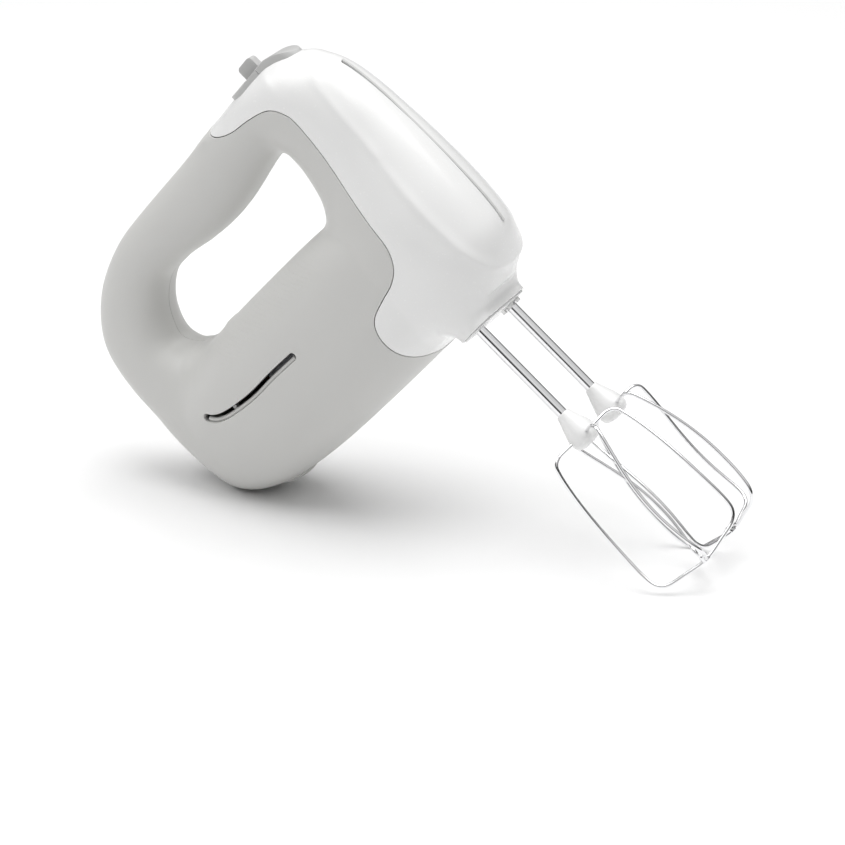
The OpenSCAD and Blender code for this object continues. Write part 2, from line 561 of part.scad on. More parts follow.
housing_left();
housing_right();
front_shell();
accent_strip();
vent_rib();
control_panel();
boss_plate();
socket_bush_plain();
socket_bush_keyed();
cord_bush();
heel_foot();
gearbox_case();
gearbox_cover();
gearbox_screws();
housing_screws();
stator_core();
field_coil_upper();
field_coil_lower();
rear_bracket();
front_bearing();
rear_bearing();
brush_holder_left();
brush_holder_right();
carbon_brush_left();
carbon_brush_right();
brush_spring_left();
brush_spring_right();
speed_board();
speed_switch();
capacitor();
eject_spring();
motor_shaft();
worm();
armature_core();
armature_windings();
commutator();
fan();
wheel_left();
catch_left();
wheel_right();
catch_right();
stem_left();
hub_left();
loop_a_left();
loop_b_left();
clip_left();
stem_right();
hub_right();
loop_a_right();
loop_b_right();
clip_right();
eject_button();
eject_plunger();
selector_lever();
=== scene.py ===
import json
import math

import bmesh
import bpy
import numpy as np
from mathutils import Matrix, Vector


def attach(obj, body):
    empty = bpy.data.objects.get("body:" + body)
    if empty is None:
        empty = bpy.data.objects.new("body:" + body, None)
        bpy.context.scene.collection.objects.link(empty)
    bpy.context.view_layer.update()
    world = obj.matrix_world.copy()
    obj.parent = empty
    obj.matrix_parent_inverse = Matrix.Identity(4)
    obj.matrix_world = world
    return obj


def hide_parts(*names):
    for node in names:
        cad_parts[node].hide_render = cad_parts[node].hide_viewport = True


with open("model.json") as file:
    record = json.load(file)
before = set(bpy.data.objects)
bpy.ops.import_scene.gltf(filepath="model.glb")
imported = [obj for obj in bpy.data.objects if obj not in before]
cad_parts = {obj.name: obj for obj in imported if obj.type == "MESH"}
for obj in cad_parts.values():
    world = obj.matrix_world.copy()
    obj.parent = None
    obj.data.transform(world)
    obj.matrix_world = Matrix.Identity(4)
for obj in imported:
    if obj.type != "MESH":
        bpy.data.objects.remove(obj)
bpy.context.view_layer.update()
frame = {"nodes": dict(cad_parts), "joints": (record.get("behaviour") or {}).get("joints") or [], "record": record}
record = frame["record"]
joints = {j["name"]: j for j in frame["joints"]}

# ---- the upright "use" frame: X forwards, Z up the sockets, origin on the socket face between them
AX = np.array(joints["motor_spin"]["axis"], float)
AZ = -np.array(joints["eject_press"]["axis"], float)
AX /= np.linalg.norm(AX)
AZ /= np.linalg.norm(AZ)
AY = np.cross(AZ, AX)
left_hub = np.array(joints["wheel_left_spin"]["pos_m"], float)
right_hub = np.array(joints["wheel_right_spin"]["pos_m"], float)
MOTOR_Z = 56.0
ORIGIN = (left_hub + right_hub) / 2 - AZ * MOTOR_Z / 1000
SOCKET_Y = float(np.linalg.norm(left_hub - right_hub)) * 500
ROWS = np.array([AX, AY, AZ])


def row(p):
    """Use frame, mm -> row frame, m."""
    return ORIGIN + (np.asarray(p, float) / 1000) @ ROWS


def use(p):
    return (np.asarray(p, float) - ORIGIN) @ ROWS.T * 1000


def row_dir(d):
    return np.asarray(d, float) @ ROWS


# ---- tables of the housing's form
# nose and top: [z, front x, back x, half width]
HEAD = [[12, 22, -30, 24], [16, 30, -36, 29], [22, 38, -42, 34], [34, 45, -48, 37.4],
        [49, 47.6, -53, 38.6], [68, 48.8, -50, 38], [86, 49.2, -38, 34], [100, 49.1, -27, 30.5],
        [112, 48.6, -20, 28], [133, 47, -16, 25.8], [151, 43.5, -20, 23.6], [163, 37.5, -34, 21.5],
        [172, 29.5, -44, 18.5], [178, 21, -44, 13.5], [180.5, 14, -38, 8]]
# handle loop: [x, z, heading, half thickness, half width]
HANDLE = [[6, 161, 180, 16, 17], [-30, 162.3, 182, 18.6, 19], [-62, 160, 180, 20.2, 19.6],
          [-84, 160.4, 180, 19.8, 19.8], [-112, 163, 182, 17.2, 20], [-134, 162, 194, 16.8, 20.4],
          [-155, 153, 218, 19.1, 21], [-169.6, 138.2, 244, 21.3, 22.2], [-174.6, 121, 261, 20.9, 24],
          [-172.7, 100, 268, 23.3, 26.6], [-171, 76, 272, 25.1, 29.6], [-167.5, 58, 280, 25.6, 31],
          [-158, 45, 296, 22, 27]]
# boss round both sockets: [z, radius, stretch along X]
BOSS = [[4, 11.6, 1], [6, 11.5, 1], [9, 11.8, 1.05], [13, 12.8, 1.25], [18, 14, 1.6], [26, 15, 1.8]]
# where the white cowl meets the grey shells, and the middle line of the air slot: [x, z]
PARTING = [[-40.5, 190], [-39.5, 182], [-37.5, 175.5], [-32.5, 171.5], [-24.6, 168.2], [-12.4, 165.8],
           [-1.2, 162.7], [4.8, 159.2], [9, 153.6], [11.6, 145.8], [11.2, 126.7], [8.6, 105], [7.4, 83],
           [6.9, 66.3], [2.1, 56.3], [-6, 51], [-17.7, 48.4], [-29, 44.5], [-35, 36], [-37, 24],
           [-34.5, 14.5], [-28.5, 7], [-24, 0]]
VENT = [[-81, 63], [-100, 64.3], [-117.6, 64.8], [-132, 66.7], [-143, 69], [-150, 72], [-154, 75.5]]
# one wing of a beater wire, from the hub to the tip: [radius, z]
WING = [[4, -73], [12, -72.6], [18, -72.8], [22.2, -75], [24, -80], [26, -94], [27.8, -113], [28.8, -132],
        [29, -147], [27.6, -154.5], [23, -158.8], [13, -161], [5, -162.6], [0, -163]]
BODY_L, BODY_W, BODY_H, BODY_Z = 245.0, 84.0, 91.0, 57.5
TILT = 0.045                   # rise of the housing towards the heel
SIDE_P, PLAN_P, RING_P = 3.2, 2.6, 2.7    # how square the housing is from the side, from above, in section
NOSE_X = 49.0
BODY_X = NOSE_X - BODY_L / 2
END_CUT = 7.0                  # how far the rounded nose end of the lower housing stops short of the nose
HEAD_P, GRIP_P = 2.2, 2.3      # how square the sections of the head and of the handle are
TOP_FLAT, NOSE_FLAT = 180.5, 12.0
FAR_DISTANCE = 30.0            # the fields are cut off this far from their surface


def smooth(points, n):
    """Catmull-Rom curve through the points, n steps between neighbours."""
    P = np.array(points, float)
    out = []
    for i in range(len(P) - 1):
        p0, p1, p2, p3 = P[max(i - 1, 0)], P[i], P[i + 1], P[min(i + 2, len(P) - 1)]
        for k in range(n):
            t = k / n
            out.append(0.5 * (2 * p1 + (p2 - p0) * t + (2 * p0 - 5 * p1 + 4 * p2 - p3) * t * t
                              + (3 * p1 - p0 - 3 * p2 + p3) * t ** 3))
    out.append(P[-1])
    return np.array(out)


def polyline_distance(px, pz, line):
    """Unsigned distance of points to a polyline, and its sign (positive right of travel)."""
    best = np.full(px.shape, 1e9)
    side = np.ones(px.shape)
    for a, b in zip(line[:-1], line[1:]):
        d = b - a
        L2 = float(d @ d)
        t = np.clip(((px - a[0]) * d[0] + (pz - a[1]) * d[1]) / L2, 0, 1)
        ex, ez = px - a[0] - t * d[0], pz - a[1] - t * d[1]
        dist = np.hypot(ex, ez)
        cross = d[0] * (pz - a[1]) - d[1] * (px - a[0])
        upd = dist < best - 1e-9
        best = np.where(upd, dist, best)
        side = np.where(upd, np.where(cross >= 0, 1.0, -1.0), side)
    return best, side


# ---- the body as a distance field on a grid
STEP = 1.15
GX = np.arange(-206, 58, STEP)
GY = np.arange(-48, 48 + STEP, STEP)
GZ = np.arange(-4, 190, STEP)
GRID0 = np.array([GX[0], GY[0], GZ[0]])


def as_distance(F):
    """Turns an implicit function into something near a distance, by its slope."""
    g = np.gradient(F, STEP)
    m = np.sqrt(g[0] ** 2 + g[1] ** 2 + g[2] ** 2)
    return np.clip(F / np.maximum(m, 1e-4), -FAR_DISTANCE, FAR_DISTANCE)


def grads(F):
    g = np.stack(np.gradient(F, STEP), -1)
    return g / np.maximum(np.linalg.norm(g, axis=-1, keepdims=True), 1e-6)


def blend_union(A, B, k):
    """Union with a fillet that grows with the angle between the two surfaces."""
    c = np.einsum("...i,...i->...", grads(A), grads(B))
    kk = np.maximum(k * np.minimum((1 - c) / 2, 0.5), 0.02)
    h = np.maximum(kk - np.abs(A - B), 0) / kk
    return np.minimum(A, B) - h * h * kk / 4


def blur(F, sigma):
    r = max(1, int(3 * sigma / STEP))
    w = np.exp(-0.5 * (np.arange(-r, r + 1) * STEP / sigma) ** 2)
    w /= w.sum()
    for axis in range(3):
        pad = [(0, 0)] * 3
        pad[axis] = (r, r)
        P = np.pad(F, pad, mode="edge")
        out = np.zeros_like(F)
        for i, wi in enumerate(w):
            sl = [slice(None)] * 3
            sl[axis] = slice(i, i + F.shape[axis])
            out += wi * P[tuple(sl)]
        F = out
    return F


def body_field():
    X, Y, Z = GX[:, None, None], GY[None, :, None], GZ[None, None, :]
    a = BODY_L / 2 - END_CUT
    mid_x = BODY_X - END_CUT
    t = np.clip(np.abs((GX - mid_x) / a), 0, 1)
    side = np.maximum(1 - t ** SIDE_P, 0.0005) ** (1 / SIDE_P)
    plan = np.maximum(1 - t ** PLAN_P, 0.0005) ** (1 / PLAN_P)
    zc = BODY_Z - TILT * (GX - BODY_X)
    b = (BODY_W / 2 * plan)[:, None, None]
    h = (BODY_H / 2 * side)[:, None, None]
    rad = ((np.abs(Y) / b) ** RING_P + (np.abs(Z - zc[:, None, None]) / h) ** RING_P) ** (1 / RING_P)
    motor = as_distance(np.log(np.clip(rad, 0.02, 60)))
    motor = np.maximum(motor, np.abs(X - mid_x) - a)

    H = smooth(HEAD, 6)
    f, bk, w = (np.interp(GZ, H[:, 0], H[:, i]) for i in (1, 2, 3))
    rad = ((np.abs(X - ((f + bk) / 2)[None, None, :]) / ((f - bk) / 2)[None, None, :]) ** HEAD_P
           + (np.abs(Y) / w[None, None, :]) ** HEAD_P) ** (1 / HEAD_P)
    head = as_distance(np.log(np.clip(rad, 0.02, 60)))
    head = np.maximum(np.maximum(head, Z - TOP_FLAT), NOSE_FLAT - Z)

    S = smooth(HANDLE, 24)
    gx, gz = np.meshgrid(GX, GZ, indexing="ij")
    best = np.full(gx.shape, 1e9)
    idx = np.zeros(gx.shape, int)
    for i, s in enumerate(S):
        d = (gx - s[0]) ** 2 + (gz - s[1]) ** 2
        upd = d < best
        best = np.where(upd, d, best)
        idx = np.where(upd, i, idx)
    ang = np.radians(S[:, 2])
    un, ut = np.stack([-np.sin(ang), np.cos(ang)], -1), np.stack([np.cos(ang), np.sin(ang)], -1)
    ex, ez = gx - S[idx, 0], gz - S[idx, 1]
    q = ex * un[idx, 0] + ez * un[idx, 1]
    along = np.where(idx == 0, -(ex * ut[idx, 0] + ez * ut[idx, 1]),
                     np.where(idx == len(S) - 1, ex * ut[idx, 0] + ez * ut[idx, 1], -FAR_DISTANCE))
    rad = ((np.abs(q / S[idx, 3])[:, None, :]) ** GRIP_P
           + (np.abs(Y) / S[idx, 4][:, None, :]) ** GRIP_P) ** (1 / GRIP_P)
    handle = as_distance(np.log(np.clip(rad, 0.02, 60)))
    handle = np.maximum(handle, along[:, None, :])

    F = blend_union(motor, head, 22)
    # tight at the heel, wide in the grip opening's lower corner, medium where the grip meets the head
    w = np.clip((X + 110) / 50, 0, 1)
    corner = np.exp(-((X + 138) ** 2 + (Z - 108) ** 2) / (2 * 24.0 ** 2))
    F = blend_union(F, handle, 9 + 16 * w * w * (3 - 2 * w) + 46 * corner + 0 * F)
    F = blur(F, 1.6)
    B = smooth(BOSS, 4)
    r, st = np.interp(GZ, B[:, 0], B[:, 1]), np.interp(GZ, B[:, 0], B[:, 2])
    half = np.minimum(SOCKET_Y, 36 - r)
    off = np.maximum(np.abs(Y) - half[None, None, :], 0)
    boss = np.sqrt((X / st[None, None, :]) ** 2 + off ** 2) - r[None, None, :]
    boss = np.maximum(boss, Z - 30)
    F = blend_union(F, boss + 0 * F, 9)
    return F


def sample(F, P):
    """Trilinear reading of a grid (or a grid of vectors) at points in mm."""
    q = (P - GRID0) / STEP
    n = np.array(F.shape[:3]) - 2
    i = np.clip(np.floor(q).astype(int), 0, n)
    t = np.clip(q - i, 0, 1)
    out = 0
    for dx in (0, 1):
        for dy in (0, 1):
            for dz in (0, 1):
                w = ((t[:, 0] if dx else 1 - t[:, 0]) * (t[:, 1] if dy else 1 - t[:, 1])
                     * (t[:, 2] if dz else 1 - t[:, 2]))
                v = F[i[:, 0] + dx, i[:, 1] + dy, i[:, 2] + dz]
                out = out + (w[:, None] * v if v.ndim == 2 else w * v)
    return out


def surface_nets(F):
    """Quads round the zero level of F, as vertices and triangles."""
    S = F < 0
    mixed = np.zeros(tuple(np.array(F.shape) - 1), bool)
    corners = [(a, b, c) for a in (0, 1) for b in (0, 1) for c in (0, 1)]
    def corner(A, c):
        return A[c[0]:A.shape[0] - 1 + c[0], c[1]:A.shape[1] - 1 + c[1], c[2]:A.shape[2] - 1 + c[2]]
    s0 = corner(S, (0, 0, 0))
    for c in corners[1:]:
        mixed |= corner(S, c) != s0
    cells = np.argwhere(mixed)
    ids = -np.ones(mixed.shape, int)
    ids[tuple(cells.T)] = np.arange(len(cells))
    acc = np.zeros((len(cells), 3))
    cnt = np.zeros(len(cells))
    val = {c: corner(F, c)[tuple(cells.T)] for c in corners}
    for a in corners:
        for ax in range(3):
            if a[ax] == 0:
                b = tuple(1 if i == ax else a[i] for i in range(3))
                va, vb = val[a], val[b]
                hit = (va < 0) != (vb < 0)
                t = np.where(hit, va / np.where(hit, va - vb, 1), 0)
                p = np.array(a, float)[None, :] + t[:, None] * (np.array(b) - np.array(a))[None, :]
                acc += np.where(hit[:, None], p, 0)
                cnt += hit
    V = GRID0 + (cells + acc / cnt[:, None]) * STEP
    T = []
    for ax in range(3):
        o1, o2 = (ax + 1) % 3, (ax + 2) % 3
        sl0 = [slice(1, -1)] * 3
        sl0[ax] = slice(0, -1)
        sl1 = list(sl0)
        sl1[ax] = slice(1, None)
        A, B = S[tuple(sl0)], S[tuple(sl1)]
        e = np.argwhere(A != B)
        flip = A[tuple(e.T)]
        base = e.copy()
        base[:, o1] += 1
        base[:, o2] += 1
        def cell(d1, d2):
            c = base.copy()
            c[:, o1] += d1
            c[:, o2] += d2
            return ids[tuple(c.T)]
        q = np.stack([cell(-1, -1), cell(0, -1), cell(0, 0), cell(-1, 0)], -1)
        q = np.where(flip[:, None], q, q[:, ::-1])
        T += [q[:, [0, 1, 2]], q[:, [0, 2, 3]]]
    return V, np.concatenate(T)


print("field")
FIELD = body_field()
GRAD = np.stack(np.gradient(FIELD, STEP), -1)
BASE_V, BASE_T = surface_nets(FIELD)
for _ in range(4):
    g = sample(GRAD, BASE_V)
    BASE_V = BASE_V - (sample(FIELD, BASE_V) / np.maximum((g ** 2).sum(1), 0.05))[:, None] * g
print("body mesh", len(BASE_V), len(BASE_T))


def unit(v):
    return v / np.maximum(np.linalg.norm(v, axis=-1, keepdims=True), 1e-9)


def clip(V, T, fun):
    """Keeps the part of a triangle mesh where fun > 0, cut along fun = 0."""
    f = fun(V)
    f = np.where(np.abs(f) < 1e-3, 1e-3, f)
    pos = f[T] > 0
    n = pos.sum(1)
    keep = T[n == 3]
    new_faces = [keep]
    def crossing(a, b):
        lo, hi = np.minimum(a, b), np.maximum(a, b)
        key = lo.astype(np.int64) * len(V) + hi
        return key, lo, hi
    one, two = T[n == 1], T[n == 2]
    p1, p2 = pos[n == 1], pos[n == 2]
    r1 = np.argmax(p1, 1)
    one = np.stack([one[np.arange(len(one)), (r1 + k) % 3] for k in range(3)], -1) if len(one) else one
    r2 = np.argmin(p2, 1)
    two = np.stack([two[np.arange(len(two)), (r2 + k) % 3] for k in range(3)], -1) if len(two) else two
    pairs = []
    if len(one):
        pairs += [(one[:, 0], one[:, 1]), (one[:, 0], one[:, 2])]
    if len(two):
        pairs += [(two[:, 0], two[:, 1]), (two[:, 0], two[:, 2])]
    if not pairs:
        used = np.unique(keep)
        re = -np.ones(len(V), int)
        re[used] = np.arange(len(used))
        return V[used], re[keep]
    keys, los, his = zip(*[crossing(a, b) for a, b in pairs])
    allk = np.concatenate(keys)
    uk, first = np.unique(allk, return_index=True)
    lo, hi = np.concatenate(los)[first], np.concatenate(his)[first]
    t = f[lo] / (f[lo] - f[hi])
    NV = V[lo] + t[:, None] * (V[hi] - V[lo])
    VV = np.concatenate([V, NV])
    look = [len(V) + np.searchsorted(uk, k) for k in keys]
    if len(one):
        new_faces.append(np.stack([one[:, 0], look[0], look[1]], -1))
    if len(two):
        a, b = look[-2], look[-1]
        new_faces.append(np.stack([a, two[:, 1], two[:, 2]], -1))
        new_faces.append(np.stack([a, two[:, 2], b], -1))
    T2 = np.concatenate(new_faces)
    used = np.unique(T2)
    re = -np.ones(len(VV), int)
    re[used] = np.arange(len(used))
    return VV[used], re[T2]


def numeric_grad(fun, P, e=0.05):
    return np.stack([(fun(P + e * d) - fun(P - e * d)) / (2 * e) for d in np.eye(3)], -1)


def make_shell(name, funs, thick=2.2, radius=0.4, deep=()):
    """The body's skin where every fun > 0, with rounded edges, a real thickness and an inner face."""
    V, T = BASE_V, BASE_T
    for fun in funs:
        V, T = clip(V, T, lambda P: fun(P) - radius)
    N = unit(sample(GRAD, V))
    E = np.concatenate([T[:, [0, 1]], T[:, [1, 2]], T[:, [2, 0]]])
    key = np.minimum(E[:, 0], E[:, 1]).astype(np.int64) * len(V) + np.maximum(E[:, 0], E[:, 1])
    uk, inv, cnt = np.unique(key, return_inverse=True, return_counts=True)
    B = E[cnt[inv] == 1]
    bv = np.unique(B)
    vals = np.stack([fun(V[bv]) for fun in funs], -1)
    near = vals.argmin(1)
    M = np.zeros((len(bv), 3))
    for i, fun in enumerate(funs):
        m = near == i
        if m.any():
            g = numeric_grad(fun, V[bv[m]])
            M[m] = -g
    n = N[bv]
    M = unit(M - n * (M * n).sum(1)[:, None])
    verts = [V]
    norms = [N]
    faces = [T]
    slot_of = -np.ones(len(V), int)
    slot_of[bv] = np.arange(len(bv))
    prev = bv.copy()
    total = len(V)
    P0 = V[bv]
    for th in (30, 60, 90):
        s, c = math.sin(math.radians(th)), math.cos(math.radians(th))
        P = P0 + M * radius * s - n * radius * (1 - c)
        ids = total + np.arange(len(bv))
        verts.append(P)
        norms.append(n * c + M * s)
        total += len(bv)
        a, b = B[:, 0], B[:, 1]
        pa, pb = prev[slot_of[a]], prev[slot_of[b]]
        na, nb = ids[slot_of[a]], ids[slot_of[b]]
        faces.append(np.stack([pb, pa, na], -1))
        faces.append(np.stack([pb, na, nb], -1))
        prev = ids
    # the inner face
    inner = V - N * thick
    # walls of a deep opening slope inwards, as a moulded slot's do
    deeper = np.isin(near, list(deep))[:, None]
    inner[bv] = P0 + M * (radius + np.where(deeper, 0.3, 0)) - n * np.where(deeper, 4.6, thick)
    off = total
    verts.append(inner)
    norms.append(-N)
    faces.append(T[:, ::-1] + off)
    a, b = B[:, 0], B[:, 1]
    pa, pb = prev[slot_of[a]], prev[slot_of[b]]
    faces.append(np.stack([pb, pa, a + off], -1))
    faces.append(np.stack([pb, a + off, b + off], -1))
    return add_mesh(name, np.concatenate(verts), np.concatenate(faces), normals=np.concatenate(norms))


def add_mesh(name, V, F, normals=None, smooth_angle=None):
    me = bpy.data.meshes.new(name)
    P = row(V)
    me.from_pydata(P.tolist(), [], [list(map(int, f)) for f in F] if not isinstance(F, np.ndarray) else F.tolist())
    me.validate()
    me.update()
    ob = bpy.data.objects.new(name, me)
    bpy.context.scene.collection.objects.link(ob)
    me.polygons.foreach_set("use_smooth", [True] * len(me.polygons))
    if normals is not None and len(me.vertices) == len(V):
        me.normals_split_custom_set_from_vertices(row_dir(unit(normals)).tolist())
    if smooth_angle:
        auto_smooth(ob, smooth_angle)
    return ob


def auto_smooth(ob, degrees):
    me = ob.data
    bm = bmesh.new()
    bm.from_mesh(me)
    for e in bm.edges:
        e.smooth = len(e.link_faces) == 2 and e.calc_face_angle(0) < math.radians(degrees)
    bm.to_mesh(me)
    bm.free()


def tube(points, radius, sides=20, closed=False, ends=True):
    """Vertices and faces of a round rod along points in mm."""
    P = np.array(points, float)
    m = len(P)
    if closed:
        d = np.roll(P, -1, 0) - np.roll(P, 1, 0)
    else:
        d = np.gradient(P, axis=0)
    t = unit(d)
    u = np.zeros_like(P)
    ref = np.array([0.0, 0, 1]) if abs(t[0][2]) < 0.9 else np.array([1.0, 0, 0])
    u[0] = unit(np.cross(t[0], ref))
    for i in range(1, m):
        v = u[i - 1] - t[i] * (u[i - 1] @ t[i])
        u[i] = unit(v)
    v = np.cross(t, u)
    r = np.broadcast_to(np.asarray(radius, float), (m,))
    a = np.arange(sides) * 2 * math.pi / sides
    ring = P[:, None, :] + r[:, None, None] * (np.cos(a)[None, :, None] * u[:, None, :]
                                               + np.sin(a)[None, :, None] * v[:, None, :])
    V = ring.reshape(-1, 3)
    F = []
    for i in range(m if closed else m - 1):
        i2 = (i + 1) % m
        for j in range(sides):
            j2 = (j + 1) % sides
            F.append([i * sides + j, i * sides + j2, i2 * sides + j2, i2 * sides + j])
    if not closed and ends:
        F.append(list(range(sides))[::-1])
        F.append([(m - 1) * sides + j for j in range(sides)])
    return V, F


def lathe(profile, sides=64, centre=(0, 0, 0)):
    """Turned about Z: profile is [(radius, z), ...] from one end to the other."""
    V, F = [], []
    n = len(profile)
    for r, z in profile:
        for j in range(sides):
            a = 2 * math.pi * j / sides
            V.append([r * math.cos(a) + centre[0], r * math.sin(a) + centre[1], z + centre[2]])
    for i in range(n - 1):
        for j in range(sides):
            j2 = (j + 1) % sides
            F.append([i * sides + j, (i + 1) * sides + j, (i + 1) * sides + j2, i * sides + j2])
    F.append([j for j in range(sides)])
    F.append([(n - 1) * sides + j for j in range(sides)][::-1])
    return np.array(V), F


BUTTON_UNDER, BUTTON_BACK = 173.05, 7.9    # just above the eject button's flat underside; its back end


def rounded(node, width, skirt=0.0):
    """A CAD node's own shape with its edges rounded over; a skirt slants its underside down to the front."""
    src = frame["nodes"][node]
    me = src.data.copy()
    ob = bpy.data.objects.new(node + "_moulded", me)
    bpy.context.scene.collection.objects.link(ob)
    bm = bmesh.new()
    bm.from_mesh(me)
    bmesh.ops.remove_doubles(bm, verts=bm.verts, dist=2e-6)
    bmesh.ops.dissolve_limit(bm, angle_limit=math.radians(1.5), verts=bm.verts, edges=bm.edges)
    for v in bm.verts:
        q = use(v.co)
        if skirt and q[2] < BUTTON_UNDER:
            v.co -= Vector(AZ * skirt * (q[0] - BUTTON_BACK) / 1000)
    bm.to_mesh(me)
    bm.free()
    if me.has_custom_normals:
        me.attributes.remove(me.attributes["custom_normal"])
    mod = ob.modifiers.new("round", "BEVEL")
    mod.width = width / 1000
    mod.segments = 3
    mod.limit_method = "ANGLE"
    mod.angle_limit = math.radians(28)
    mod.harden_normals = False
    mod.use_clamp_overlap = True
    bpy.context.view_layer.update()
    dg = bpy.context.evaluated_depsgraph_get()
    out = bpy.data.meshes.new_from_object(ob.evaluated_get(dg))
    ob.modifiers.clear()
    ob.data = out
    out.materials.clear()
    out.polygons.foreach_set("use_smooth", [True] * len(out.polygons))
    auto_smooth(ob, 35)
    return ob


# ---- materials
def material(name, color, rough=0.4, metal=0.0, coat=0.0, grain=0.0, grain_scale=900.0, mottle=0.02,
             rough_var=0.05, brushed=None, dots=False, spec=0.5):
    m = bpy.data.materials.new(name)
    m.use_nodes = True
    nt = m.node_tree
    b = nt.nodes["Principled BSDF"]
    b.inputs["Metallic"].default_value = metal
    b.inputs["Coat Weight"].default_value = coat
    b.inputs["Coat Roughness"].default_value = 0.12
    b.inputs["Specular IOR Level"].default_value = spec
    tc = nt.nodes.new("ShaderNodeTexCoord")
    big = nt.nodes.new("ShaderNodeTexNoise")
    big.inputs["Scale"].default_value = 22.0
    big.inputs["Detail"].default_value = 3.0
    nt.links.new(tc.outputs["Object"], big.inputs["Vector"])
    ramp = nt.nodes.new("ShaderNodeMix")
    ramp.data_type = "RGBA"
    lo = [max(c * (1 - mottle), 0) for c in color]
    hi = [min(c * (1 + mottle), 1) for c in color]
    ramp.inputs["A"].default_value = (*lo, 1)
    ramp.inputs["B"].default_value = (*hi, 1)
    nt.links.new(big.outputs["Fac"], ramp.inputs["Factor"])
    nt.links.new(ramp.outputs["Result"], b.inputs["Base Color"])
    fine = nt.nodes.new("ShaderNodeTexNoise")
    fine.inputs["Scale"].default_value = grain_scale
    fine.inputs["Detail"].default_value = 4.0
    vec = tc.outputs["Object"]
    if brushed:
        mp = nt.nodes.new("ShaderNodeMapping")
        mp.inputs["Scale"].default_value = brushed
        nt.links.new(vec, mp.inputs["Vector"])
        vec = mp.outputs["Vector"]
    nt.links.new(vec, fine.inputs["Vector"])
    mr = nt.nodes.new("ShaderNodeMapRange")
    mr.inputs["To Min"].default_value = max(rough - rough_var, 0.02)
    mr.inputs["To Max"].default_value = rough + rough_var
    nt.links.new(fine.outputs["Fac"], mr.inputs["Value"])
    nt.links.new(mr.outputs["Result"], b.inputs["Roughness"])
    if grain or dots:
        bump = nt.nodes.new("ShaderNodeBump")
        bump.inputs["Distance"].default_value = 0.0001
        bump.inputs["Strength"].default_value = grain
        nt.links.new(fine.outputs["Fac"], bump.inputs["Height"])
        nt.links.new(bump.outputs["Normal"], b.inputs["Normal"])
    if dots:
        # a field of fine dimples on the flank under the grip opening, in rows along the use frame
        def dot(vector):
            n = nt.nodes.new("ShaderNodeVectorMath")
            n.operation = "DOT_PRODUCT"
            nt.links.new(tc.outputs["Object"], n.inputs[0])
            n.inputs[1].default_value = vector
            return n.outputs["Value"]

        def calc(op, a, c):
            n = nt.nodes.new("ShaderNodeMath")
            n.operation = op
            for i, v in enumerate((a, c)):
                if isinstance(v, (int, float)):
                    n.inputs[i].default_value = v
                elif v is not None:
                    nt.links.new(v, n.inputs[i])
            return n.outputs["Value"]

        def window_of(v, lo, hi, soft):
            n1 = nt.nodes.new("ShaderNodeMapRange")
            n1.inputs["From Min"].default_value, n1.inputs["From Max"].default_value = lo, lo + soft
            nt.links.new(v, n1.inputs["Value"])
            n2 = nt.nodes.new("ShaderNodeMapRange")
            n2.inputs["From Min"].default_value, n2.inputs["From Max"].default_value = hi, hi - soft
            nt.links.new(v, n2.inputs["Value"])
            return calc("MULTIPLY", n1.outputs["Result"], n2.outputs["Result"])

        ux = calc("SUBTRACT", dot(AX), float(ORIGIN @ AX))
        uz = calc("SUBTRACT", dot(AZ), float(ORIGIN @ AZ))
        pitch = 2 * math.pi / 0.0030
        cx = calc("COSINE", calc("MULTIPLY", calc("ADD", ux, uz), pitch), None)
        cz = calc("COSINE", calc("MULTIPLY", calc("SUBTRACT", ux, uz), pitch), None)
        spot = nt.nodes.new("ShaderNodeMapRange")
        spot.inputs["From Min"].default_value, spot.inputs["From Max"].default_value = 1.35, 1.9
        spot.interpolation_type = "SMOOTHSTEP"
        nt.links.new(calc("ADD", cx, cz), spot.inputs["Value"])
        mask = calc("MULTIPLY", window_of(ux, -0.132, -0.030, 0.012), window_of(uz, 0.080, 0.104, 0.006))
        pits = nt.nodes.new("ShaderNodeBump")
        pits.invert = True
        pits.inputs["Distance"].default_value = 0.00025
        pits.inputs["Strength"].default_value = 0.8
        nt.links.new(calc("MULTIPLY", spot.outputs["Result"], mask), pits.inputs["Height"])
        nt.links.new(bump.outputs["Normal"], pits.inputs["Normal"])
        nt.links.new(pits.outputs["Normal"], b.inputs["Normal"])
    return m


